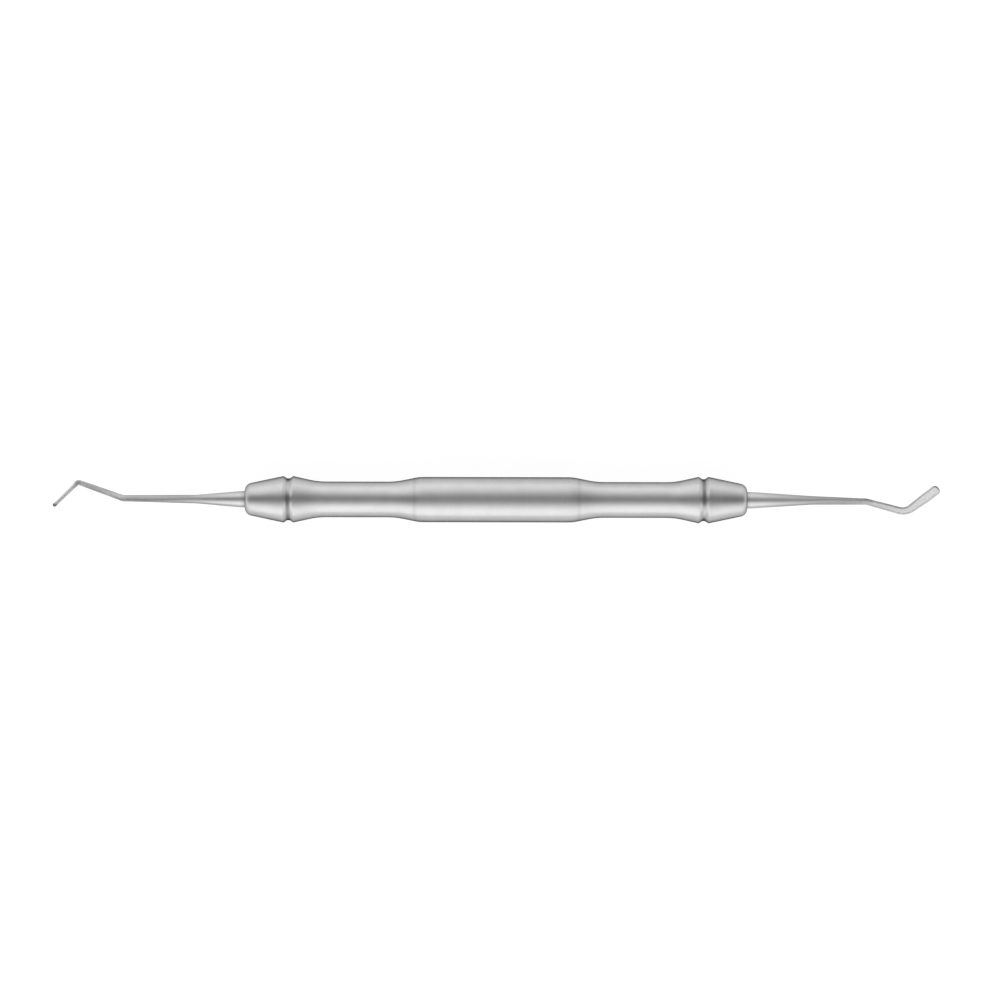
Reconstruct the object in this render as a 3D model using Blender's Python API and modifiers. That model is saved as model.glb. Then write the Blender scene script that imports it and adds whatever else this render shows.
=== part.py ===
"""Double-ended dental spatula in stainless steel: a turned handle and two bent working ends.

Metres, +Z up. The instrument lies on the ground along X, with the bends of both ends in one
level plane, and its origin is on the ground under the middle of its length.
"""

import math

import bmesh
import bpy
from mathutils import Matrix, Vector

MM = 0.001

# Handle, turned from bar and the same on both sides of its middle
BARREL_LENGTH = 30.4 * MM
BARREL_DIAMETER = 9.0 * MM
BARREL_FILLET = 8.0 * MM
TAPER_LENGTH = 4.7 * MM
WAIST_LENGTH = 15.5 * MM
WAIST_DIAMETER = 7.1 * MM
WAIST_FILLET = 15.0 * MM
FLARE_LENGTH = 4.8 * MM
RIDGE_DIAMETER = 9.26 * MM
RIDGE_FILLET = 0.25 * MM
GROOVE_WIDTH = 1.95 * MM
GROOVE_FLOOR_WIDTH = 0.5 * MM
GROOVE_DEPTH = 0.47 * MM
GROOVE_FILLET = 0.45 * MM
NOSE_LENGTH = 7.65 * MM
NOSE_DIAMETER = 6.0 * MM
NOSE_FILLET = 1.8 * MM

# Blind socket in each nose, and the tang that is brazed into it
ROD_DIAMETER = 3.3 * MM
TANG_LENGTH = 12.0 * MM
TANG_CHAMFER = 0.3 * MM
SOCKET_CLEARANCE = 0.05 * MM
SOCKET_END_CLEARANCE = 0.4 * MM
SOCKET_MOUTH_CHAMFER = 0.08 * MM
DRILL_POINT_ANGLE = math.radians(118)

# Both working ends, forged and ground from the same rod
ROD_STAND_OUT = 0.5 * MM
NECK_DIAMETER = 1.7 * MM
NECK_END_DIAMETER = 1.24 * MM
NECK_BEND_RADIUS = 6.0 * MM
ARM_WIDTH = 1.48 * MM
ARM_THICKNESS = 0.98 * MM
BLADE_WIDTH = 1.9 * MM
BLADE_FLARE_LENGTH = 4.4 * MM
BLADE_ROOT_THICKNESS = 0.8 * MM
BLADE_TIP_THICKNESS = 0.62 * MM
TIP_CORNER_RADIUS = 0.88 * MM

# Hoe end, whose blade stands across the plane of its bends
HOE_CONE_LENGTH = 9.6 * MM
HOE_NECK_LENGTH = 14.6 * MM
HOE_NECK_TILT = math.radians(0.6)
HOE_ARM_BEND_RADIUS = 1.2 * MM
HOE_ARM_LENGTH = 9.5 * MM
HOE_ARM_ANGLE = math.radians(19.7)
HOE_KNEE_RADIUS = 0.35 * MM
HOE_BLADE_LENGTH = 6.86 * MM
HOE_BLADE_ANGLE = math.radians(44.6)

# Hatchet end, whose blade lies in the plane of its bends
HATCHET_CONE_LENGTH = 12.9 * MM
HATCHET_NECK_LENGTH = 10.75 * MM
HATCHET_NECK_TILT = math.radians(1.2)
HATCHET_ARM_BEND_RADIUS = 1.6 * MM
HATCHET_ARM_LENGTH = 8.15 * MM
HATCHET_ARM_ANGLE = math.radians(15.0)
HATCHET_KNEE_RADIUS = 2.3 * MM
HATCHET_BLADE_LENGTH = 8.1 * MM
HATCHET_BLADE_ANGLE = math.radians(36.5)

# Section shapes: 2 is an ellipse, and a higher number has flatter faces and tighter corners.
# Sizes and shapes change evenly between their stations, eased over a short length.
ROUND_SECTION = 2.0
ARM_SECTION = 2.8
BLADE_SECTION = 4.5
EASE_LENGTH = 1.6 * MM

# Fineness of the facets
HANDLE_FACETS = 48
SECTION_POINTS = 20
FILLET_STEP = math.radians(20)
BEND_STEP = math.radians(10)
STATION_STEP = 1.5 * MM
TIP_STEPS = 6
TIP_SWEEP = math.radians(80)
EASE_SAMPLES = 9
MERGE_DISTANCE = 0.01 * MM
SHARP_EDGE_ANGLE = math.radians(50)

# Share of the straight beside a corner that its fillet may use
FILLET_ROOM = 0.95

# Satin steel, a little duller on the turned handle than on the ground ends
HANDLE_GREY = 0.6
HANDLE_ROUGHNESS = 0.34
END_GREY = 0.55
END_ROUGHNESS = 0.3

AXIS_MARK_SIZE = 5.0 * MM

# Places along the handle's axis, counted from its middle
BARREL_END = BARREL_LENGTH / 2
WAIST_START = BARREL_END + TAPER_LENGTH
WAIST_END = WAIST_START + WAIST_LENGTH
GROOVE_START = WAIST_END + FLARE_LENGTH
GROOVE_END = GROOVE_START + GROOVE_WIDTH
NOSE_FACE = GROOVE_END + NOSE_LENGTH
SOCKET_RADIUS = ROD_DIAMETER / 2 + SOCKET_CLEARANCE
SOCKET_BOTTOM = NOSE_FACE - TANG_LENGTH - SOCKET_END_CLEARANCE


def clear_scene():
    for old in list(bpy.data.objects):
        bpy.data.objects.remove(old, do_unlink=True)


def steel(name, grey, roughness):
    material = bpy.data.materials.new(name)
    material.use_nodes = True
    shader = material.node_tree.nodes["Principled BSDF"]
    shader.inputs["Base Color"].default_value = (grey, grey, grey, 1.0)
    shader.inputs["Metallic"].default_value = 1.0
    shader.inputs["Roughness"].default_value = roughness
    return material


def direction(heading):
    return Vector((math.cos(heading), math.sin(heading)))


def fillet(before, corner, after, radius, room_before, room_after):
    """Points along the arc that rounds a corner, kept within the room on each side of it."""
    to_before = before - corner
    to_after = after - corner
    half_angle = to_before.angle(to_after) / 2
    tangent = min(
        radius / math.tan(half_angle),
        to_before.length * room_before,
        to_after.length * room_after,
    )
    middle = (to_before.normalized() + to_after.normalized()).normalized()
    centre = corner + middle * tangent / math.cos(half_angle)
    spoke = corner + to_before.normalized() * tangent - centre
    sweep = math.pi - 2 * half_angle
    turn = -math.copysign(sweep, to_before.cross(to_after))
    steps = max(2, math.ceil(sweep / FILLET_STEP))
    return [centre + Matrix.Rotation(turn * i / steps, 2) @ spoke for i in range(steps + 1)]


def rounded(corners):
    """The outline through (station, radius, fillet) corners, with an arc where one is asked."""
    points = []
    for i, (station, radius, fillet_radius) in enumerate(corners):
        corner = Vector((station, radius))
        if fillet_radius == 0:
            points.append(corner)
            continue
        before = corners[i - 1]
        after = corners[i + 1]
        room_before = FILLET_ROOM / (2 if before[2] else 1)
        room_after = FILLET_ROOM / (2 if after[2] else 1)
        ends = Vector(before[:2]), Vector(after[:2])
        points += fillet(ends[0], corner, ends[1], fillet_radius, room_before, room_after)
    return points


def handle_outline():
    """Half the handle's section, from the bottom of one socket round the outside to the other."""
    groove_side = (GROOVE_WIDTH - GROOVE_FLOOR_WIDTH) / 2
    groove_radius = RIDGE_DIAMETER / 2 - GROOVE_DEPTH
    drill_point = SOCKET_RADIUS / math.tan(DRILL_POINT_ANGLE / 2)
    one_side = [
        (BARREL_END, BARREL_DIAMETER / 2, BARREL_FILLET),
        (WAIST_START, WAIST_DIAMETER / 2, WAIST_FILLET),
        (WAIST_END, WAIST_DIAMETER / 2, WAIST_FILLET),
        (GROOVE_START, RIDGE_DIAMETER / 2, RIDGE_FILLET),
        (GROOVE_START + groove_side, groove_radius, GROOVE_FILLET),
        (GROOVE_END - groove_side, groove_radius, GROOVE_FILLET),
        (GROOVE_END, RIDGE_DIAMETER / 2, RIDGE_FILLET),
        (NOSE_FACE, NOSE_DIAMETER / 2, NOSE_FILLET),
        (NOSE_FACE, SOCKET_RADIUS + SOCKET_MOUTH_CHAMFER, 0),
        (NOSE_FACE - SOCKET_MOUTH_CHAMFER, SOCKET_RADIUS, 0),
        (SOCKET_BOTTOM, SOCKET_RADIUS, 0),
        (SOCKET_BOTTOM - drill_point, 0, 0),
    ]
    other_side = [(-station, radius, fillet_radius) for station, radius, fillet_radius in one_side]
    return rounded(one_side[::-1] + other_side)


def build_handle():
    mesh = bpy.data.meshes.new("handle")
    profile = [(point.y, 0, point.x) for point in handle_outline()]
    mesh.from_pydata(profile, [(i, i + 1) for i in range(len(profile) - 1)], [])
    handle = bpy.data.objects.new("handle", mesh)
    screw = handle.modifiers.new("Turned", "SCREW")
    screw.axis = "Z"
    screw.steps = HANDLE_FACETS
    screw.render_steps = HANDLE_FACETS
    screw.use_merge_vertices = True
    screw.merge_threshold = MERGE_DISTANCE
    screw.use_smooth_shade = True
    # Half a facet of turn lays a flat on the ground, not an edge.
    half_facet = Matrix.Rotation(math.pi / HANDLE_FACETS, 4, "Z")
    handle.matrix_local = Matrix.Rotation(math.radians(90), 4, "Y") @ half_facet
    mesh.materials.append(steel("handle_steel", HANDLE_GREY, HANDLE_ROUGHNESS))
    return handle


class BentPath:
    """A level centreline of straight legs, with an arc where one leg turns into the next."""

    def __init__(self, start, legs, bend_radii):
        """Each leg is (length, heading). marks holds the middle of each bend, then the far end."""
        self.stretches = []
        self.marks = []
        turns = [legs[i + 1][1] - legs[i][1] for i in range(len(bend_radii))]
        setbacks = [radius * math.tan(abs(turn) / 2) for radius, turn in zip(bend_radii, turns)]
        setbacks = [0.0, *setbacks, 0.0]
        self.length = 0.0
        self.end = Vector((start, 0))
        for i, (length, heading) in enumerate(legs):
            self.extend(heading, length - setbacks[i] - setbacks[i + 1], 0.0)
            if i < len(turns):
                arc = bend_radii[i] * abs(turns[i])
                self.marks.append(self.length + arc / 2)
                self.extend(heading, arc, turns[i])
        self.marks.append(self.length)

    def extend(self, heading, length, turn):
        self.stretches.append((self.length, self.end, heading, length, turn))
        self.end = self.travel(self.end, heading, length, turn)
        self.length += length

    @staticmethod
    def travel(point, heading, length, turn):
        """Where a stretch ends whose heading turns evenly by turn over its length."""
        chord = length * math.sin(turn / 2) / (turn / 2) if turn else length
        return point + direction(heading + turn / 2) * chord

    def at(self, distance):
        """The point and the heading this far along."""
        begun, point, heading, length, turn = [
            stretch for stretch in self.stretches if stretch[0] <= distance
        ][-1]
        turned = turn * (distance - begun) / length
        return self.travel(point, heading, distance - begun, turned), heading + turned

    def stations(self):
        """Distances along the path, close together where it bends."""
        found = []
        for begun, _, _, length, turn in self.stretches:
            steps = max(math.ceil(abs(turn) / BEND_STEP), math.ceil(length / STATION_STEP))
            found += [begun + length * i / steps for i in range(steps)]
        return found


def linear(knots, distance):
    """A value read on straight lines between (distance, value) knots, and held past them."""
    for (start, low), (end, high) in zip(knots, knots[1:]):
        if distance <= end:
            share = max(0.0, (distance - start) / (end - start))
            return low + (high - low) * share
    return knots[-1][1]


def eased(knots, distance):
    """The same value with its changes of slope rounded off, as the mean over a short stretch."""
    reach = [EASE_LENGTH * (i / (EASE_SAMPLES - 1) - 0.5) for i in range(EASE_SAMPLES)]
    return sum(linear(knots, distance + offset) for offset in reach) / EASE_SAMPLES


def section_ring(point, heading, level_size, upright_size, squareness):
    """A closed ring of points square to the path, as a superellipse of these two sizes."""
    sideways = direction(heading + math.radians(90))
    power = 2 / squareness
    ring = []
    for i in range(SECTION_POINTS):
        angle = 2 * math.pi * i / SECTION_POINTS
        level = math.copysign(abs(math.cos(angle)) ** power, math.cos(angle)) * level_size / 2
        upright = math.copysign(abs(math.sin(angle)) ** power, math.sin(angle)) * upright_size / 2
        place = point + sideways * level
        ring.append((place.x, place.y, upright))
    return ring


def lofted_mesh(name, rings):
    """One closed skin through rings of equal count, with a flat cap at each end."""
    shape = bmesh.new()
    loops = [[shape.verts.new(place) for place in ring] for ring in rings]
    for near, far in zip(loops, loops[1:]):
        for i in range(SECTION_POINTS):
            j = (i + 1) % SECTION_POINTS
            shape.faces.new((near[i], near[j], far[j], far[i]))
    shape.faces.new(loops[0])
    shape.faces.new(loops[-1])
    bmesh.ops.recalc_face_normals(shape, faces=shape.faces)
    mesh = bpy.data.meshes.new(name)
    shape.to_mesh(mesh)
    shape.free()
    mesh.shade_smooth()
    mesh.set_sharp_from_angle(angle=SHARP_EDGE_ANGLE)
    return mesh


def tip_stations(tip, corner_radius):
    """Distances over the rounded corners of the tip, with how far the sides have drawn in."""
    found = []
    for i in range(TIP_STEPS + 1):
        angle = TIP_SWEEP * i / TIP_STEPS
        drawn_in = corner_radius * (1 - math.cos(angle))
        found.append((tip - corner_radius * (1 - math.sin(angle)), drawn_in))
    return found


def rounded_end(half_thickness, to_end):
    """Half the thickness left this far from an end whose profile is a half circle."""
    into = max(0.0, 1 - to_end / half_thickness)
    return half_thickness * math.sqrt(1 - into**2)


def end_rings(path, blade_is_level):
    """The rings of one working end, from the tang's chamfer to the tip of the blade."""
    cone_end, arm_start, knee, tip = path.marks
    cone_start = TANG_LENGTH + ROD_STAND_OUT
    width_knots = [
        (cone_start, ROD_DIAMETER),
        (cone_end, NECK_DIAMETER),
        (arm_start, NECK_END_DIAMETER),
        (knee, ARM_WIDTH),
        (knee + BLADE_FLARE_LENGTH, BLADE_WIDTH),
    ]
    thickness_knots = [
        (cone_start, ROD_DIAMETER),
        (cone_end, NECK_DIAMETER),
        (arm_start, NECK_END_DIAMETER),
        (knee, ARM_THICKNESS),
        (knee + EASE_LENGTH, BLADE_ROOT_THICKNESS),
        (tip, BLADE_TIP_THICKNESS),
    ]
    section_knots = [
        (arm_start, ROUND_SECTION),
        (knee, ARM_SECTION),
        (knee + BLADE_FLARE_LENGTH, BLADE_SECTION),
    ]

    def ring(distance, drawn_in=0.0):
        point, heading = path.at(distance)
        width = eased(width_knots, distance) - 2 * drawn_in
        thickness = 2 * rounded_end(eased(thickness_knots, distance) / 2, tip - distance)
        sizes = (width, thickness) if blade_is_level else (thickness, width)
        return section_ring(point, heading, *sizes, linear(section_knots, distance))

    rounding = tip_stations(tip, TIP_CORNER_RADIUS)
    rounding_start = rounding[0][0]
    chamfered = ROD_DIAMETER - 2 * TANG_CHAMFER
    tang_end = section_ring(*path.at(0.0), chamfered, chamfered, ROUND_SECTION)
    body = [distance for distance in path.stations() if TANG_CHAMFER < distance < rounding_start]
    body_rings = [ring(distance) for distance in [TANG_CHAMFER, *body]]
    return [tang_end, *body_rings, *(ring(*station) for station in rounding)]


def build_working_end(name, legs, arm_bend_radius, knee_radius, blade_is_level):
    """A working end that points along its own +X. legs are the cone, neck, arm and blade."""
    arm_size = ARM_WIDTH if blade_is_level else ARM_THICKNESS
    bend_radii = [
        NECK_BEND_RADIUS,
        arm_bend_radius + NECK_END_DIAMETER / 2,
        knee_radius + arm_size / 2,
    ]
    cone_length, cone_heading = legs[0]
    legs = [(TANG_LENGTH + cone_length, cone_heading), *legs[1:]]
    path = BentPath(NOSE_FACE - TANG_LENGTH, legs, bend_radii)
    mesh = lofted_mesh(name, end_rings(path, blade_is_level))
    mesh.materials.append(steel(f"{name}_steel", END_GREY, END_ROUGHNESS))
    return bpy.data.objects.new(name, mesh)


def build_hoe_end():
    legs = [
        (HOE_CONE_LENGTH, 0.0),
        (HOE_NECK_LENGTH, -HOE_NECK_TILT),
        (HOE_ARM_LENGTH, -HOE_ARM_ANGLE),
        (HOE_BLADE_LENGTH, HOE_BLADE_ANGLE),
    ]
    end = build_working_end("hoe_end", legs, HOE_ARM_BEND_RADIUS, HOE_KNEE_RADIUS, False)
    end.rotation_euler.z = math.pi
    return end


def build_hatchet_end():
    legs = [
        (HATCHET_CONE_LENGTH, 0.0),
        (HATCHET_NECK_LENGTH, -HATCHET_NECK_TILT),
        (HATCHET_ARM_LENGTH, -HATCHET_ARM_ANGLE),
        (HATCHET_BLADE_LENGTH, HATCHET_BLADE_ANGLE),
    ]
    return build_working_end(
        "hatchet_end", legs, HATCHET_ARM_BEND_RADIUS, HATCHET_KNEE_RADIUS, True
    )


def reach(end):
    """How far a working end reaches from the middle of the handle."""
    return max(vertex.co.x for vertex in end.data.vertices)


def main():
    clear_scene()
    collection = bpy.data.collections.new("dental_spatula")
    bpy.context.scene.collection.children.link(collection)

    hoe_end = build_hoe_end()
    hatchet_end = build_hatchet_end()
    widest = max(point.y for point in handle_outline())
    axis = bpy.data.objects.new("handle_axis", None)
    axis.empty_display_size = AXIS_MARK_SIZE
    axis.location.x = (reach(hoe_end) - reach(hatchet_end)) / 2
    axis.location.z = widest * math.cos(math.pi / HANDLE_FACETS)
    collection.objects.link(axis)
    for piece in (build_handle(), hoe_end, hatchet_end):
        piece.parent = axis
        collection.objects.link(piece)


main()
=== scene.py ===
"""Looks of the double-ended dental spatula: fine meshes in satin steel on a pale studio floor."""

import math

import bmesh
import bpy
from mathutils import Matrix, Vector


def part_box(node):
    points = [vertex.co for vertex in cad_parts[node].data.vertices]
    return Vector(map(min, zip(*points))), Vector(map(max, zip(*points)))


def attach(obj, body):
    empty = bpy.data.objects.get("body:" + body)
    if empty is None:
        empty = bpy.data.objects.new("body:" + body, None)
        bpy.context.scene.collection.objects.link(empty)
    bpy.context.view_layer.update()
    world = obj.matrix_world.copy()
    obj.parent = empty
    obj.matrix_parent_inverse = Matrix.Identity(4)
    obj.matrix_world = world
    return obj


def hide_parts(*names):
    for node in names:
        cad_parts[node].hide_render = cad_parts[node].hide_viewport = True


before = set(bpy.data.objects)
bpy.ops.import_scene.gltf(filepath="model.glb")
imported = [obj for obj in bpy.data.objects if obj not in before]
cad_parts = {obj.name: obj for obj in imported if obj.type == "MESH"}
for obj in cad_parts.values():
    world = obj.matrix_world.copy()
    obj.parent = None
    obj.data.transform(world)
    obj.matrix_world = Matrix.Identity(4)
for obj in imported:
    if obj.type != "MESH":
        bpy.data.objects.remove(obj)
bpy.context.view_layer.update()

MM = 0.001

# Handle, turned from bar and the same on both sides of its middle
BARREL_LENGTH = 30.4 * MM
BARREL_DIAMETER = 9.0 * MM
BARREL_FILLET = 8.0 * MM
TAPER_LENGTH = 4.7 * MM
WAIST_LENGTH = 15.5 * MM
WAIST_DIAMETER = 7.1 * MM
WAIST_FILLET = 15.0 * MM
FLARE_LENGTH = 4.8 * MM
RIDGE_DIAMETER = 9.26 * MM
RIDGE_FILLET = 0.25 * MM
GROOVE_WIDTH = 1.95 * MM
GROOVE_FLOOR_WIDTH = 0.5 * MM
GROOVE_DEPTH = 0.47 * MM
GROOVE_FILLET = 0.45 * MM
NOSE_LENGTH = 7.65 * MM
NOSE_DIAMETER = 6.0 * MM
NOSE_FILLET = 1.8 * MM

# Mouth of the blind socket in each nose, and the tang in it
ROD_DIAMETER = 3.3 * MM
TANG_LENGTH = 12.0 * MM
SOCKET_CLEARANCE = 0.05 * MM
SOCKET_DEPTH = 1.5 * MM

# Both working ends, forged and ground from the same rod
ROD_STAND_OUT = 0.5 * MM
NECK_DIAMETER = 1.7 * MM
NECK_END_DIAMETER = 1.24 * MM
NECK_BEND_RADIUS = 6.0 * MM
ARM_WIDTH = 1.48 * MM
ARM_THICKNESS = 0.98 * MM
BLADE_WIDTH = 1.9 * MM
BLADE_FLARE_LENGTH = 4.4 * MM
BLADE_ROOT_THICKNESS = 0.8 * MM
BLADE_TIP_THICKNESS = 0.62 * MM
TIP_CORNER_RADIUS = 0.88 * MM

# Hoe end, whose blade stands across the plane of its bends
HOE_CONE_LENGTH = 9.6 * MM
HOE_NECK_LENGTH = 14.6 * MM
HOE_NECK_TILT = math.radians(0.6)
HOE_ARM_BEND_RADIUS = 1.2 * MM
HOE_ARM_LENGTH = 9.5 * MM
HOE_ARM_ANGLE = math.radians(19.7)
HOE_KNEE_RADIUS = 0.35 * MM
HOE_BLADE_LENGTH = 6.86 * MM
HOE_BLADE_ANGLE = math.radians(44.6)

# Hatchet end, whose blade lies in the plane of its bends
HATCHET_CONE_LENGTH = 12.9 * MM
HATCHET_NECK_LENGTH = 10.75 * MM
HATCHET_NECK_TILT = math.radians(1.2)
HATCHET_ARM_BEND_RADIUS = 1.6 * MM
HATCHET_ARM_LENGTH = 8.15 * MM
HATCHET_ARM_ANGLE = math.radians(15.0)
HATCHET_KNEE_RADIUS = 2.3 * MM
HATCHET_BLADE_LENGTH = 8.1 * MM
HATCHET_BLADE_ANGLE = math.radians(36.5)

# Section shapes: 2 is an ellipse, and a higher number has flatter faces and tighter corners
ROUND_SECTION = 2.0
ARM_SECTION = 4.0
BLADE_SECTION = 4.5
EASE_LENGTH = 1.6 * MM

# Each neck: its section shape, how far its flats are turned from straight up, and how far its
# crown leans to the left, as a share of half its width
HOE_NECK = (ROUND_SECTION, 0.0, 0.47)
HATCHET_NECK = (6.0, math.radians(24), 0.0)

# Shares of the neck's length between which its crown comes to lean
LEAN_START = 0.1
LEAN_END = 0.6

# Finish and painted shade along each end: the place, counted in marks (0 at the nose, 1 at the
# end of the cone, 2 at the start of the arm, 3 at the knee and 4 at the tip), then the greys of
# the middle, the left edge and the right edge, as seen from the nose, and the roughness there.
# The greys give satin, ground and blasted steel, and also painted shade: darker beside the
# socket, at the hoe end's knee and tip, and along the edges, more on one side than the other.
HOE_FINISH_AND_SHADE = [
    (0.0, 0.44, 0.44, 0.44, 0.36),
    (0.05, 0.46, 0.46, 0.46, 0.34),
    (0.09, 0.54, 0.5, 0.54, 0.32),
    (0.4, 0.51, 0.42, 0.54, 0.34),
    (0.75, 0.48, 0.39, 0.51, 0.42),
    (1.0, 0.47, 0.4, 0.5, 0.5),
    (1.1, 0.47, 0.37, 0.44, 0.53),
    (1.2, 0.47, 0.34, 0.41, 0.54),
    (1.4, 0.46, 0.34, 0.4, 0.5),
    (1.6, 0.45, 0.33, 0.41, 0.46),
    (1.95, 0.45, 0.32, 0.41, 0.45),
    (2.08, 0.71, 0.3, 0.56, 0.6),
    (2.3, 0.73, 0.48, 0.47, 0.6),
    (2.5, 0.64, 0.34, 0.48, 0.6),
    (2.7, 0.62, 0.34, 0.48, 0.6),
    (2.92, 0.68, 0.42, 0.56, 0.6),
    (2.95, 0.5, 0.42, 0.46, 0.55),
    (3.02, 0.4, 0.35, 0.38, 0.5),
    (3.1, 0.66, 0.44, 0.62, 0.5),
    (3.22, 0.9, 0.54, 0.94, 0.5),
    (3.87, 0.88, 0.5, 0.9, 0.5),
    (3.97, 0.15, 0.15, 0.15, 0.5),
]
HATCHET_FINISH_AND_SHADE = [
    (0.0, 0.46, 0.46, 0.46, 0.36),
    (0.03, 0.5, 0.5, 0.5, 0.36),
    (0.06, 0.56, 0.54, 0.54, 0.36),
    (0.25, 0.55, 0.52, 0.5, 0.4),
    (0.5, 0.5, 0.46, 0.42, 0.47),
    (0.8, 0.49, 0.42, 0.38, 0.54),
    (1.0, 0.48, 0.4, 0.35, 0.59),
    (1.15, 0.43, 0.38, 0.33, 0.56),
    (1.6, 0.36, 0.36, 0.34, 0.5),
    (1.9, 0.38, 0.34, 0.39, 0.5),
    (1.98, 0.42, 0.22, 0.44, 0.5),
    (2.1, 0.5, 0.25, 0.48, 0.55),
    (2.2, 0.74, 0.38, 0.54, 0.75),
    (2.6, 0.8, 0.3, 0.58, 0.78),
    (2.8, 0.82, 0.32, 0.6, 0.8),
    (3.0, 0.87, 0.46, 0.6, 0.8),
    (3.4, 0.9, 0.58, 0.66, 0.8),
    (4.0, 0.9, 0.66, 0.66, 0.8),
]

# Greys of the painted shade at the very end of each blade, and at the corner on its left
HOE_TIP_SHADE_GREY = 0.12
HATCHET_TIP_SHADE_GREY = 0.42
TIP_CORNER_SHADE_GREY = 0.14
CORNER_REACH = 1.05 * MM
CORNER_CORE = 0.7 * MM

# How far in from an edge its painted-shade grey reaches, and how far in it is full
EDGE_REACH = 0.5 * MM
EDGE_CORE = 0.15 * MM

# Blotches on the ends, which are faint on the shank, and the grain of the blasted finish
BLOTCH_GRAINS = (2400, 2400, 2400)
SHANK_BLOTCHES = 0.05
ARM_BLOTCHES = 0.5
BLAST_GRAINS = (9000, 9000, 9000)
BLAST_DEPTH = 0.01 * MM

# A coarse blast scatters light like a matt coat does, so its steel is less metallic.
FINE_BLAST_ROUGHNESS = 0.6
COARSE_BLAST_ROUGHNESS = 0.8
COARSE_BLAST_METALLIC = 0.4

# Satin steel of the handle, with broad clouds and fine turning marks
HANDLE_GREY = 0.54
CLOUD_GRAINS = (350, 350, 350)
CLOUD_CONTRAST = 0.025
TURNING_GRAINS = (9000, 260, 260)
TURNING_CONTRAST = 0.006
TURNING_DEPTH = 0.0005 * MM
SATIN_ROUGHNESS = (0.27, 0.33)

# The noise values that give the darkest and the brightest steel, and the least and most rough
TONE_NOISE = (0.3, 0.7)
ROUGHNESS_NOISE = (0.25, 0.75)

# The rounded end of each nose is painted a little brighter, as painted light, and is less smooth,
# in full near its face.
ROUNDING_PAINTED_LIGHT = 1.05
ROUNDING_ROUGHNESS = 0.42
ROUNDING_CORE = 0.4 * MM

# Faint turned ring in each taper
RING_MIDDLE = 0.17 * MM
RING_DISTANCE = 16.3 * MM
RING_REACH = 0.65 * MM
RING_TONE = 0.9

# Painted shade that darkens the bottom of each ring groove, and how far along the handle it
# reaches
GROOVE_SHADE_TONE = 0.41
GROOVE_SHADE_CORE = 0.1 * MM
GROOVE_SHADE_REACH = 0.64 * MM

# Where the groove's painted shade lightens and deepens again, counted across the handle from its
# axis
LIGHTER_GROOVE_SHADE_TONE = 0.76
LIGHTER_GROOVE_SHADE_START = (-3.9 * MM, -3.2 * MM)
LIGHTER_GROOVE_SHADE_END = (-1.8 * MM, -0.2 * MM)

# Brightness of each metal at a glancing view, as a share of polished steel's
HANDLE_EDGE_TINT = 0.0
END_EDGE_TINT = 0.55

BUMP_STRENGTH = 0.5

# Fineness of the meshes
HANDLE_STEPS = 240
FILLET_STEP = math.radians(4)
SECTION_POINTS = 72
BEND_STEP = math.radians(3)
STATION_STEP = 0.3 * MM
TIP_STEPS = 18
TIP_SWEEP = math.radians(80)
EASE_SAMPLES = 9
MERGE_DISTANCE = 0.002 * MM
SHARP_EDGE_ANGLE = math.radians(40)

# The most of an edge that the fillets at its ends may take up
FILLET_ROOM = 0.95

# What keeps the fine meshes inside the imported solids
CAD_HANDLE_FACETS = 48
HANDLE_INSET = 0.9998
TIP_INSET = 0.004 * MM

# The photograph's scale, where the middle of the handle lies in it and how far it is turned
PIXEL = 0.1984 * MM
IMAGE_SIZE = 1000
HANDLE_MIDDLE_PX = (496.0, 499.72)
ROLL = math.radians(0.117)
LENS_MM = 135.0
SENSOR_MM = 36.0
CLIP_END = 20.0

# Light from the tent on each side of the handle. Angles are degrees from straight up, across
# the handle, and each light goes from nothing at its first angle to its strength at its second.
UP_LIGHT = 0.97
UP_LIGHT_START = 4.0
UP_LIGHT_END = 78.0
UP_LIGHT_HOE_END = 60.0
DOWN_LIGHT = 1.27
DOWN_LIGHT_START = 2.0
DOWN_LIGHT_END = -63.0

# Light from the dark strip overhead, straight above and this many degrees along the handle
OVERHEAD_LIGHT = 0.36
OVERHEAD_FAR_LIGHT = 0.14
OVERHEAD_FAR_ANGLE = 50.0

# How far a direction points along the handle, from -1 to 1, where the strip narrows and where
# the tent's gain changes, and how far up it points where the tent turns white
STRIP_NARROWING = (0.05, -0.2)
GAIN_CHANGE = (-0.4, 0.4)
HOE_GAIN = 1.05
HATCHET_GAIN = 0.96
HORIZON = (0.16, 0.09)

# Floor, as it lights the object and as it is seen: a shadowed part and a steady white part
FLOOR_SIZE = 6.0
FLOOR_GREY = 0.95
SEEN_FLOOR_GREY = 0.17
SEEN_FLOOR_GLOW = 0.9

# Places along the handle's axis, counted from its middle
BARREL_END = BARREL_LENGTH / 2
WAIST_START = BARREL_END + TAPER_LENGTH
WAIST_END = WAIST_START + WAIST_LENGTH
GROOVE_START = WAIST_END + FLARE_LENGTH
GROOVE_END = GROOVE_START + GROOVE_WIDTH
NOSE_FACE = GROOVE_END + NOSE_LENGTH
SOCKET_RADIUS = ROD_DIAMETER / 2 + SOCKET_CLEARANCE

low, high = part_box("handle")
AXIS = Vector(((low.x + high.x) / 2, 0, (low.z + high.z) / 2))


def direction(heading):
    return Vector((math.cos(heading), math.sin(heading)))


def fillet(before, corner, after, radius, room_before, room_after):
    """Points along the arc that rounds a corner, kept within the room on each side of it."""
    to_before = before - corner
    to_after = after - corner
    half_angle = to_before.angle(to_after) / 2
    tangent = min(
        radius / math.tan(half_angle),
        to_before.length * room_before,
        to_after.length * room_after,
    )
    middle = (to_before.normalized() + to_after.normalized()).normalized()
    centre = corner + middle * tangent / math.cos(half_angle)
    spoke = corner + to_before.normalized() * tangent - centre
    sweep = math.pi - 2 * half_angle
    turn = -math.copysign(sweep, to_before.cross(to_after))
    steps = max(2, math.ceil(sweep / FILLET_STEP))
    return [centre + Matrix.Rotation(turn * i / steps, 2) @ spoke for i in range(steps + 1)]


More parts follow.
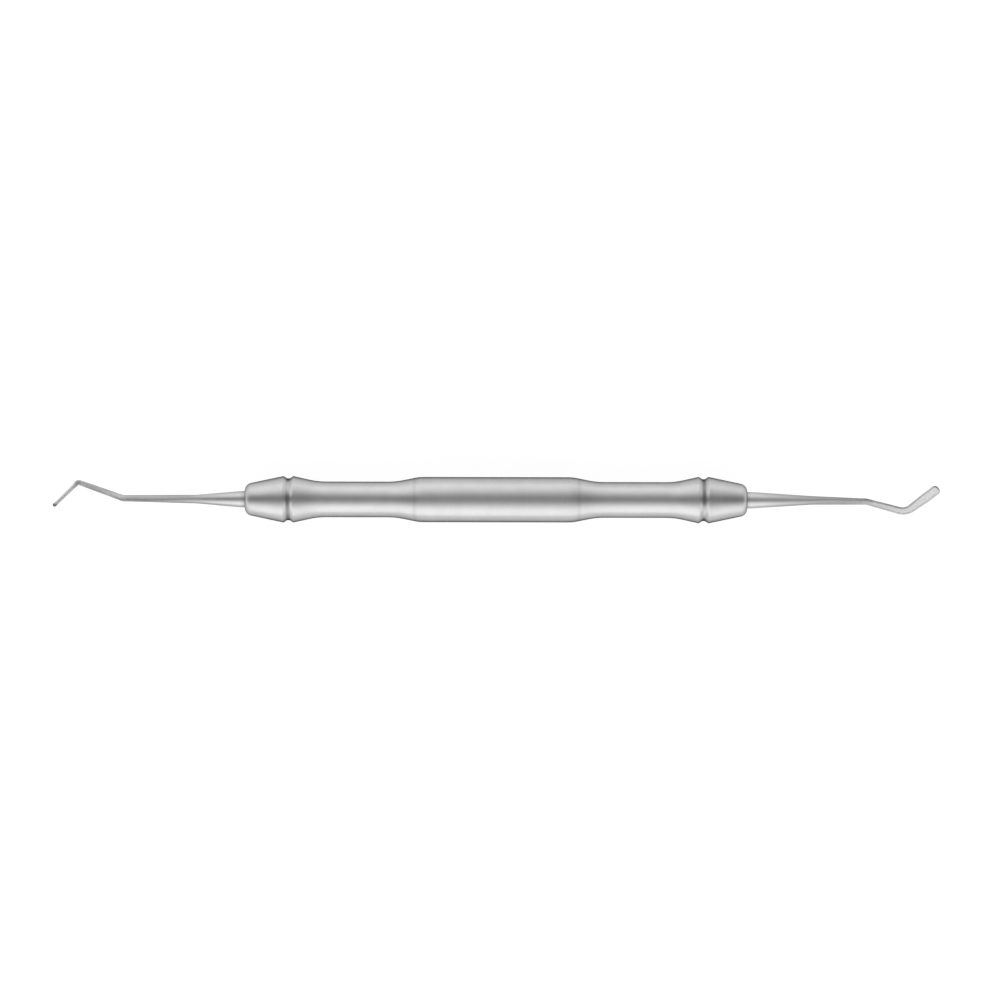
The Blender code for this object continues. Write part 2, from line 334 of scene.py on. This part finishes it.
def rounded(corners):
    """The outline through (station, radius, fillet) corners, with an arc where one is asked."""
    points = []
    for i, (station, radius, fillet_radius) in enumerate(corners):
        corner = Vector((station, radius))
        if fillet_radius == 0:
            points.append(corner)
            continue
        before = corners[i - 1]
        after = corners[i + 1]
        room_before = FILLET_ROOM / (2 if before[2] else 1)
        room_after = FILLET_ROOM / (2 if after[2] else 1)
        ends = Vector(before[:2]), Vector(after[:2])
        points += fillet(ends[0], corner, ends[1], fillet_radius, room_before, room_after)
    return points


def handle_outline():
    """Half the handle's section, from inside one socket round the outside to the other."""
    groove_side = (GROOVE_WIDTH - GROOVE_FLOOR_WIDTH) / 2
    groove_radius = RIDGE_DIAMETER / 2 - GROOVE_DEPTH
    one_side = [
        (BARREL_END, BARREL_DIAMETER / 2, BARREL_FILLET),
        (WAIST_START, WAIST_DIAMETER / 2, WAIST_FILLET),
        (WAIST_END, WAIST_DIAMETER / 2, WAIST_FILLET),
        (GROOVE_START, RIDGE_DIAMETER / 2, RIDGE_FILLET),
        (GROOVE_START + groove_side, groove_radius, GROOVE_FILLET),
        (GROOVE_END - groove_side, groove_radius, GROOVE_FILLET),
        (GROOVE_END, RIDGE_DIAMETER / 2, RIDGE_FILLET),
        (NOSE_FACE, NOSE_DIAMETER / 2, NOSE_FILLET),
        (NOSE_FACE, SOCKET_RADIUS, 0),
        (NOSE_FACE - SOCKET_DEPTH, SOCKET_RADIUS, 0),
        (NOSE_FACE - SOCKET_DEPTH, 0, 0),
    ]
    other_side = [(-station, radius, fillet_radius) for station, radius, fillet_radius in one_side]
    return rounded(one_side[::-1] + other_side)


def turned(name, outline):
    """A round piece on the handle's axis, from (station, radius) points of its outline."""
    mesh = bpy.data.meshes.new(name)
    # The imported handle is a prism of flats, and this one just fits inside it.
    inset = math.cos(math.pi / CAD_HANDLE_FACETS) * HANDLE_INSET
    profile = [(point.x, 0, point.y * inset) for point in outline]
    mesh.from_pydata(profile, [(i, i + 1) for i in range(len(profile) - 1)], [])
    piece = bpy.data.objects.new(name, mesh)
    bpy.context.scene.collection.objects.link(piece)
    screw = piece.modifiers.new("Turned", "SCREW")
    screw.axis = "X"
    screw.steps = HANDLE_STEPS
    screw.render_steps = HANDLE_STEPS
    screw.use_merge_vertices = True
    screw.merge_threshold = MERGE_DISTANCE
    screw.use_smooth_shade = True
    evaluated = piece.evaluated_get(bpy.context.evaluated_depsgraph_get())
    baked = bpy.data.meshes.new_from_object(evaluated)
    piece.modifiers.clear()
    piece.data = baked
    bpy.data.meshes.remove(mesh)
    baked.name = name
    baked.transform(Matrix.Translation(AXIS))
    baked.set_sharp_from_angle(angle=SHARP_EDGE_ANGLE)
    return piece


class BentPath:
    """A level centreline of straight legs, with an arc where one leg turns into the next."""

    def __init__(self, start, legs, bend_radii):
        """Each leg is (length, heading). marks holds the middle of each bend, then the far end."""
        self.stretches = []
        self.marks = []
        turns = [legs[i + 1][1] - legs[i][1] for i in range(len(bend_radii))]
        setbacks = [radius * math.tan(abs(turn) / 2) for radius, turn in zip(bend_radii, turns)]
        setbacks = [0.0, *setbacks, 0.0]
        self.length = 0.0
        self.end = Vector((start, 0))
        for i, (length, heading) in enumerate(legs):
            self.extend(heading, length - setbacks[i] - setbacks[i + 1], 0.0)
            if i < len(turns):
                arc = bend_radii[i] * abs(turns[i])
                self.marks.append(self.length + arc / 2)
                self.extend(heading, arc, turns[i])
        self.marks.append(self.length)

    def extend(self, heading, length, turn):
        self.stretches.append((self.length, self.end, heading, length, turn))
        self.end = self.travel(self.end, heading, length, turn)
        self.length += length

    @staticmethod
    def travel(point, heading, length, turn):
        """Where a stretch ends whose heading turns evenly by turn over its length."""
        chord = length * math.sin(turn / 2) / (turn / 2) if turn else length
        return point + direction(heading + turn / 2) * chord

    def at(self, distance):
        """The point and the heading this far along."""
        begun, point, heading, length, turn = [
            stretch for stretch in self.stretches if stretch[0] <= distance
        ][-1]
        turned_by = turn * (distance - begun) / length
        return self.travel(point, heading, distance - begun, turned_by), heading + turned_by

    def stations(self):
        """Distances along the path, close together where it bends."""
        found = []
        for begun, _, _, length, turn in self.stretches:
            steps = max(math.ceil(abs(turn) / BEND_STEP), math.ceil(length / STATION_STEP))
            found += [begun + length * i / steps for i in range(steps)]
        return found


def linear(knots, distance):
    """A value read on straight lines between (distance, value) knots, and held past them."""
    for (start, low), (end, high) in zip(knots, knots[1:]):
        if distance <= end:
            share = max(0.0, (distance - start) / (end - start))
            return low + (high - low) * share
    return knots[-1][1]


def eased(knots, distance):
    """The same value with its changes of slope rounded off, as the mean over a short stretch."""
    reach = [EASE_LENGTH * (i / (EASE_SAMPLES - 1) - 0.5) for i in range(EASE_SAMPLES)]
    return sum(linear(knots, distance + offset) for offset in reach) / EASE_SAMPLES


def section(level_size, upright_size, squareness, twist, lean):
    """Points round a superellipse that leans, is twisted and is then fitted to these two sizes."""
    power = 2 / squareness
    turn = Matrix.Rotation(twist, 2)
    points = []
    for i in range(SECTION_POINTS):
        angle = 2 * math.pi * i / SECTION_POINTS
        level = math.copysign(abs(math.cos(angle)) ** power, math.cos(angle))
        upright = math.copysign(abs(math.sin(angle)) ** power, math.sin(angle))
        level += lean * (1 - level**2)
        points.append(turn @ Vector((level * level_size / 2, upright * upright_size / 2)))
    widest = max(point.x for point in points)
    tallest = max(point.y for point in points)
    fit = Matrix.Diagonal((level_size / 2 / widest, upright_size / 2 / tallest))
    return [fit @ point for point in points]


def rounded_end(half_thickness, to_end):
    """Half the thickness left this far from an end whose profile is a half circle."""
    into = max(0.0, 1 - to_end / half_thickness)
    return half_thickness * math.sqrt(1 - into**2)


def end_rings(path, blade_is_level, neck):
    """Rings of points along one working end, each with its gaps to the two edges and the tip."""
    cone_end, arm_start, knee, tip = path.marks
    neck_section, neck_twist, neck_lean = neck
    tip -= TIP_INSET
    cone_start = TANG_LENGTH + ROD_STAND_OUT
    shank_knots = [
        (cone_start, ROD_DIAMETER),
        (cone_end, NECK_DIAMETER),
        (arm_start, NECK_END_DIAMETER),
    ]
    width_knots = [
        *shank_knots,
        (knee, ARM_WIDTH),
        (knee + BLADE_FLARE_LENGTH, BLADE_WIDTH),
    ]
    thickness_knots = [
        *shank_knots,
        (knee, ARM_THICKNESS),
        (knee + EASE_LENGTH, BLADE_ROOT_THICKNESS),
        (tip, BLADE_TIP_THICKNESS),
    ]
    neck_middle = (cone_end + arm_start) / 2
    section_knots = [
        (cone_end, ROUND_SECTION),
        (neck_middle, neck_section),
        (arm_start, neck_section),
        (knee, ARM_SECTION),
        (knee + BLADE_FLARE_LENGTH, BLADE_SECTION),
    ]
    twist_knots = [(arm_start, neck_twist), (knee, 0.0)]
    neck_length = arm_start - cone_end
    lean_knots = [
        (cone_end + LEAN_START * neck_length, 0.0),
        (cone_end + LEAN_END * neck_length, neck_lean),
        (arm_start, neck_lean),
        (knee, 0.0),
    ]

    def ring(distance, drawn_in=0.0):
        point, heading = path.at(distance)
        sideways = direction(heading + math.radians(90))
        width = eased(width_knots, distance)
        thickness = eased(thickness_knots, distance)
        edge = (width if blade_is_level else thickness) / 2
        width -= 2 * drawn_in
        thickness = 2 * rounded_end(thickness / 2, tip - distance)
        sizes = (width, thickness) if blade_is_level else (thickness, width)
        squareness = eased(section_knots, distance)
        twist = eased(twist_knots, distance)
        lean = eased(lean_knots, distance)
        places = []
        for corner in section(*sizes, squareness, twist, lean):
            place = point + sideways * corner.x
            gaps = edge - corner.x, edge + corner.x, tip - distance
            places.append(((place.x, place.y, corner.y), gaps))
        return places

    first = TANG_LENGTH - SOCKET_DEPTH + SOCKET_CLEARANCE
    tip_start = tip - TIP_CORNER_RADIUS
    body = [distance for distance in path.stations() if first < distance < tip_start]
    rings = [ring(distance) for distance in [first, *body]]
    for i in range(TIP_STEPS + 1):
        angle = TIP_SWEEP * i / TIP_STEPS
        drawn_in = TIP_CORNER_RADIUS * (1 - math.cos(angle))
        rings.append(ring(tip_start + TIP_CORNER_RADIUS * math.sin(angle), drawn_in))
    return rings


def lofted(name, rings, half_turn):
    """One closed skin through the rings, placed on the handle's axis."""
    shape = bmesh.new()
    gaps_layer = shape.verts.layers.float_vector.new("gaps")
    loops = []
    for ring in rings:
        loop = []
        for place, gaps in ring:
            vertex = shape.verts.new(place)
            vertex[gaps_layer] = gaps
            loop.append(vertex)
        loops.append(loop)
    for near, far in zip(loops, loops[1:]):
        for i in range(SECTION_POINTS):
            j = (i + 1) % SECTION_POINTS
            shape.faces.new((near[i], near[j], far[j], far[i]))
    shape.faces.new(loops[0])
    shape.faces.new(loops[-1])
    bmesh.ops.recalc_face_normals(shape, faces=shape.faces)
    mesh = bpy.data.meshes.new(name)
    shape.to_mesh(mesh)
    shape.free()
    mesh.transform(Matrix.Translation(AXIS) @ Matrix.Rotation(half_turn, 4, "Z"))
    mesh.shade_smooth()
    mesh.set_sharp_from_angle(angle=SHARP_EDGE_ANGLE)
    piece = bpy.data.objects.new(name, mesh)
    bpy.context.scene.collection.objects.link(piece)
    return piece


def working_end(name, legs, arm_bend_radius, knee_radius, blade_is_level, neck, half_turn):
    """A working end, and its marks along the handle's axis. legs are cone, neck, arm and blade."""
    arm_size = ARM_WIDTH if blade_is_level else ARM_THICKNESS
    bend_radii = [
        NECK_BEND_RADIUS,
        arm_bend_radius + NECK_END_DIAMETER / 2,
        knee_radius + arm_size / 2,
    ]
    cone_length, cone_heading = legs[0]
    legs = [(TANG_LENGTH + cone_length, cone_heading), *legs[1:]]
    path = BentPath(NOSE_FACE - TANG_LENGTH, legs, bend_radii)
    marks = [NOSE_FACE, *(path.at(mark)[0].x for mark in path.marks)]
    return lofted(name, end_rings(path, blade_is_level, neck), half_turn), marks


class Nodes:
    """Adds nodes to one tree. An input given a socket is linked, and any other value is set."""

    def __init__(self, tree):
        self.tree = tree
        tree.nodes.clear()

    def add(self, kind, inputs=None, **settings):
        node = self.tree.nodes.new(kind)
        for name, value in settings.items():
            setattr(node, name, value)
        for key, value in (inputs or {}).items():
            if isinstance(value, bpy.types.NodeSocket):
                self.tree.links.new(value, node.inputs[key])
            else:
                node.inputs[key].default_value = value
        return node

    def math(self, operation, *values):
        return self.add("ShaderNodeMath", dict(enumerate(values)), operation=operation).outputs[0]

    def spread(self, value, start, end, low=0.0, high=1.0, kind="SMOOTHSTEP"):
        """Goes from low to high as the value goes from start to end."""
        inputs = {"Value": value, 1: start, 2: end, 3: low, 4: high}
        return self.add("ShaderNodeMapRange", inputs, interpolation_type=kind).outputs[0]

    def noise(self, coordinates, stretch, detail, roughness=0.5):
        """Noise whose grains per metre along X, Y and Z are the stretch."""
        scaled = self.add(
            "ShaderNodeVectorMath", {0: coordinates, 1: stretch}, operation="MULTIPLY"
        ).outputs[0]
        inputs = {"Vector": scaled, "Scale": 1.0, "Detail": detail, "Roughness": roughness}
        return self.add("ShaderNodeTexNoise", inputs).outputs[0]

    def mix(self, factor, low, high):
        inputs = {"Factor": factor, "A": low, "B": high}
        return self.add("ShaderNodeMix", inputs, data_type="FLOAT").outputs[0]

    def ramp(self, value, stops):
        """Four numbers that run through (place, number, number, number, number) stops."""
        node = self.add("ShaderNodeValToRGB", {0: value})
        elements = node.color_ramp.elements
        while len(elements) < len(stops):
            elements.new(1.0)
        for element, (place, *numbers) in zip(elements, stops):
            element.position = place
            element.color = numbers
        colour, last = node.outputs
        return *self.add("ShaderNodeSeparateColor", {0: colour}).outputs, last

    def steel(self, grey, roughness, metallic, edge_tint, height, depth):
        """Metal of this grey and roughness, with a bump this deep."""
        colour = self.add("ShaderNodeCombineColor", {0: grey, 1: grey, 2: grey}).outputs[0]
        inputs = {"Strength": BUMP_STRENGTH, "Distance": depth, "Height": height}
        bump = self.add("ShaderNodeBump", inputs)
        inputs = {
            "Base Color": colour,
            "Metallic": metallic,
            "Roughness": roughness,
            "Normal": bump.outputs[0],
            "Specular Tint": (edge_tint, edge_tint, edge_tint, 1.0),
        }
        shader = self.add("ShaderNodeBsdfPrincipled", inputs).outputs[0]
        self.add("ShaderNodeOutputMaterial", {"Surface": shader})


def blank_material(name):
    """A new material, and what adds nodes to it."""
    material = bpy.data.materials.new(name)
    material.use_nodes = True
    return material, Nodes(material.node_tree)


def handle_steel():
    """Satin steel with fine turning marks, a faint ring in each taper, painted shade in the
    grooves and painted light on the nose ends.
    """
    material, nodes = blank_material("handle_steel")
    place = nodes.add("ShaderNodeTexCoord").outputs["Object"]
    x, y, _ = nodes.add("ShaderNodeSeparateXYZ", {0: place}).outputs
    along = nodes.math("SUBTRACT", x, AXIS.x)
    from_middle = nodes.math("ABSOLUTE", along)
    from_ring_middle = nodes.math("ABSOLUTE", nodes.math("SUBTRACT", along, RING_MIDDLE))
    off_ring = nodes.math("ABSOLUTE", nodes.math("SUBTRACT", from_ring_middle, RING_DISTANCE))
    ring = nodes.spread(off_ring, 0.0, RING_REACH, RING_TONE, 1.0)
    groove_middle = (GROOVE_START + GROOVE_END) / 2
    off_groove = nodes.math("ABSOLUTE", nodes.math("SUBTRACT", from_middle, groove_middle))
    # The painted shade in the grooves is lighter on the lower side at the hatchet end and the
    # upper side at the hoe end.
    across = nodes.math("MULTIPLY", y, nodes.math("SIGN", along))
    groove_shade = nodes.spread(across, *LIGHTER_GROOVE_SHADE_END, LIGHTER_GROOVE_SHADE_TONE, GROOVE_SHADE_TONE)
    groove_shade = nodes.spread(across, *LIGHTER_GROOVE_SHADE_START, GROOVE_SHADE_TONE, groove_shade)
    groove = nodes.spread(off_groove, GROOVE_SHADE_CORE, GROOVE_SHADE_REACH, groove_shade, 1.0)
    clouds = nodes.noise(place, CLOUD_GRAINS, 2.0)
    cloud_tone = nodes.spread(clouds, *TONE_NOISE, 1 - CLOUD_CONTRAST, 1 + CLOUD_CONTRAST)
    marks = nodes.noise(place, TURNING_GRAINS, 3.0)
    darkest = HANDLE_GREY - TURNING_CONTRAST
    brightest = HANDLE_GREY + TURNING_CONTRAST
    mark_tone = nodes.spread(marks, *TONE_NOISE, darkest, brightest)
    tone = nodes.math("MULTIPLY", nodes.math("MULTIPLY", ring, groove), cloud_tone)
    grey = nodes.math("MULTIPLY", tone, mark_tone)
    rounding = nodes.spread(from_middle, NOSE_FACE - NOSE_FILLET, NOSE_FACE - ROUNDING_CORE)
    # Painted light: the rounded end of each nose is made a little brighter
    grey = nodes.math("MULTIPLY", grey, nodes.mix(rounding, 1.0, ROUNDING_PAINTED_LIGHT))
    roughness = nodes.spread(marks, *ROUGHNESS_NOISE, *SATIN_ROUGHNESS)
    roughness = nodes.mix(rounding, roughness, ROUNDING_ROUGHNESS)
    nodes.steel(grey, roughness, 1.0, HANDLE_EDGE_TINT, marks, TURNING_DEPTH)
    return material


def end_steel(name, marks, finish_and_shade, tip_shade_grey):
    """Satin steel on the shank that turns to a fine blasted surface on the arm and the blade, with
    painted shade near the socket, at a knee, along the edges and at the tip.
    """
    material, nodes = blank_material(name)
    place = nodes.add("ShaderNodeTexCoord").outputs["Object"]
    x = nodes.add("ShaderNodeSeparateXYZ", {0: place}).outputs[0]
    from_middle = nodes.math("ABSOLUTE", nodes.math("SUBTRACT", x, AXIS.x))
    share = nodes.spread(from_middle, marks[0], marks[-1], kind="LINEAR")
    stops = []
    for mark, *values in finish_and_shade:
        at = linear(list(enumerate(marks)), mark)
        stops.append(((at - marks[0]) / (marks[-1] - marks[0]), *values))
    grey, left_edge_shade, right_edge_shade, roughness = nodes.ramp(share, stops)
    gaps = nodes.add("ShaderNodeAttribute", attribute_name="gaps").outputs["Vector"]
    gaps = nodes.add("ShaderNodeSeparateXYZ", {0: gaps}).outputs
    # Painted shade: the left and right edges and the tip are mixed towards their own darker greys
    for gap, edge_shade in zip(gaps, (left_edge_shade, right_edge_shade, tip_shade_grey)):
        grey = nodes.mix(nodes.spread(gap, EDGE_REACH, EDGE_CORE), grey, edge_shade)
    # Painted shade darkens the corner to the left of the tip
    in_corner = nodes.spread(nodes.math("ADD", gaps[0], gaps[2]), CORNER_REACH, CORNER_CORE)
    grey = nodes.mix(in_corner, grey, TIP_CORNER_SHADE_GREY)
    blotches = nodes.math("SUBTRACT", nodes.noise(place, BLOTCH_GRAINS, 2.0, 0.6), 0.5)
    contrast = nodes.spread(from_middle, marks[1], marks[2], SHANK_BLOTCHES, ARM_BLOTCHES)
    blotch_tone = nodes.math("MULTIPLY_ADD", blotches, contrast, 1.0)
    grey = nodes.math("MULTIPLY", grey, blotch_tone)
    grain = nodes.noise(place, BLAST_GRAINS, 2.0)
    blast = (FINE_BLAST_ROUGHNESS, COARSE_BLAST_ROUGHNESS)
    metallic = nodes.spread(roughness, *blast, 1.0, COARSE_BLAST_METALLIC)
    nodes.steel(grey, roughness, metallic, END_EDGE_TINT, grain, BLAST_DEPTH)
    return material


def studio():
    """A bright tent that is dark overhead, in a strip along the handle."""
    world = bpy.data.worlds.new("studio")
    bpy.context.scene.world = world
    world.use_nodes = True
    nodes = Nodes(world.node_tree)
    toward = nodes.add("ShaderNodeTexCoord").outputs["Generated"]
    x, y, z = nodes.add("ShaderNodeSeparateXYZ", {0: toward}).outputs
    # Degrees from straight up, across the handle and along it
    across = nodes.math("DEGREES", nodes.math("ARCTAN2", y, z))
    along = nodes.math("DEGREES", nodes.math("ARCSINE", nodes.math("ABSOLUTE", x)))
    # The dark strip is narrower towards the hoe end, and the tent is a little brighter there.
    up_end = nodes.spread(x, *STRIP_NARROWING, UP_LIGHT_END, UP_LIGHT_HOE_END)
    up_light = nodes.spread(across, UP_LIGHT_START, up_end, 0.0, UP_LIGHT)
    down_light = nodes.spread(across, DOWN_LIGHT_START, DOWN_LIGHT_END, 0.0, DOWN_LIGHT)
    overhead = nodes.spread(along, 0.0, OVERHEAD_FAR_ANGLE, OVERHEAD_LIGHT, OVERHEAD_FAR_LIGHT)
    strength = nodes.math("ADD", overhead, nodes.math("ADD", up_light, down_light))
    gain = nodes.spread(x, *GAIN_CHANGE, HOE_GAIN, HATCHET_GAIN)
    strength = nodes.math("MULTIPLY", strength, gain)
    # The strip ends a little above the horizon, where the tent is white all round.
    strength = nodes.math("MAXIMUM", strength, nodes.spread(z, *HORIZON))
    inputs = {"Color": (1.0, 1.0, 1.0, 1.0), "Strength": strength}
    background = nodes.add("ShaderNodeBackground", inputs).outputs[0]
    nodes.add("ShaderNodeOutputWorld", {"Surface": background})


def floor():
    """A pale floor that the camera and the metal see as white, with the object's soft shadow."""
    shape = bmesh.new()
    bmesh.ops.create_grid(shape, x_segments=1, y_segments=1, size=FLOOR_SIZE / 2)
    mesh = bpy.data.meshes.new("floor")
    shape.to_mesh(mesh)
    shape.free()
    plane = bpy.data.objects.new("floor", mesh)
    bpy.context.scene.collection.objects.link(plane)
    material, nodes = blank_material("pale_floor")
    ray = nodes.add("ShaderNodeLightPath").outputs
    seen = nodes.math("MAXIMUM", ray["Is Camera Ray"], ray["Is Glossy Ray"])
    seen = nodes.math("MAXIMUM", seen, ray["Is Transmission Ray"])
    lit, shaded = [
        nodes.add("ShaderNodeBsdfDiffuse", {"Color": (grey, grey, grey, 1.0)}).outputs[0]
        for grey in (FLOOR_GREY, SEEN_FLOOR_GREY)
    ]
    white = nodes.add("ShaderNodeEmission", {"Strength": SEEN_FLOOR_GLOW}).outputs[0]
    pale = nodes.add("ShaderNodeAddShader", {0: shaded, 1: white}).outputs[0]
    mixed = nodes.add("ShaderNodeMixShader", {0: seen, 1: lit, 2: pale}).outputs[0]
    nodes.add("ShaderNodeOutputMaterial", {"Surface": mixed})
    mesh.materials.append(material)


def camera():
    """Straight above, with the handle's middle where the photograph has it."""
    data = bpy.data.cameras.new("camera")
    data.lens = LENS_MM
    data.sensor_width = SENSOR_MM
    eye = bpy.data.objects.new("camera", data)
    bpy.context.scene.collection.objects.link(eye)
    right = (IMAGE_SIZE / 2 - HANDLE_MIDDLE_PX[0]) * PIXEL
    down = (IMAGE_SIZE / 2 - HANDLE_MIDDLE_PX[1]) * PIXEL
    height = IMAGE_SIZE * PIXEL * LENS_MM / SENSOR_MM
    eye.location = AXIS + Vector((right, -down, height))
    eye.rotation_euler.z = ROLL
    data.clip_end = CLIP_END
    bpy.context.scene.camera = eye


def dress(piece, node, material):
    piece.data.materials.clear()
    piece.data.materials.append(material)
    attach(piece, "root")
    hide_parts(node)


dress(turned("fine_handle", handle_outline()), "handle", handle_steel())
hoe, hoe_marks = working_end(
    "fine_hoe_end",
    [
        (HOE_CONE_LENGTH, 0.0),
        (HOE_NECK_LENGTH, -HOE_NECK_TILT),
        (HOE_ARM_LENGTH, -HOE_ARM_ANGLE),
        (HOE_BLADE_LENGTH, HOE_BLADE_ANGLE),
    ],
    HOE_ARM_BEND_RADIUS,
    HOE_KNEE_RADIUS,
    blade_is_level=False,
    neck=HOE_NECK,
    half_turn=math.pi,
)
steel = end_steel("hoe_end_steel", hoe_marks, HOE_FINISH_AND_SHADE, HOE_TIP_SHADE_GREY)
dress(hoe, "hoe_end", steel)
hatchet, hatchet_marks = working_end(
    "fine_hatchet_end",
    [
        (HATCHET_CONE_LENGTH, 0.0),
        (HATCHET_NECK_LENGTH, -HATCHET_NECK_TILT),
        (HATCHET_ARM_LENGTH, -HATCHET_ARM_ANGLE),
        (HATCHET_BLADE_LENGTH, HATCHET_BLADE_ANGLE),
    ],
    HATCHET_ARM_BEND_RADIUS,
    HATCHET_KNEE_RADIUS,
    blade_is_level=True,
    neck=HATCHET_NECK,
    half_turn=0.0,
)
steel = end_steel("hatchet_end_steel", hatchet_marks, HATCHET_FINISH_AND_SHADE, HATCHET_TIP_SHADE_GREY)
dress(hatchet, "hatchet_end", steel)

studio()
floor()
camera()
bpy.context.scene.view_settings.view_transform = "Standard"
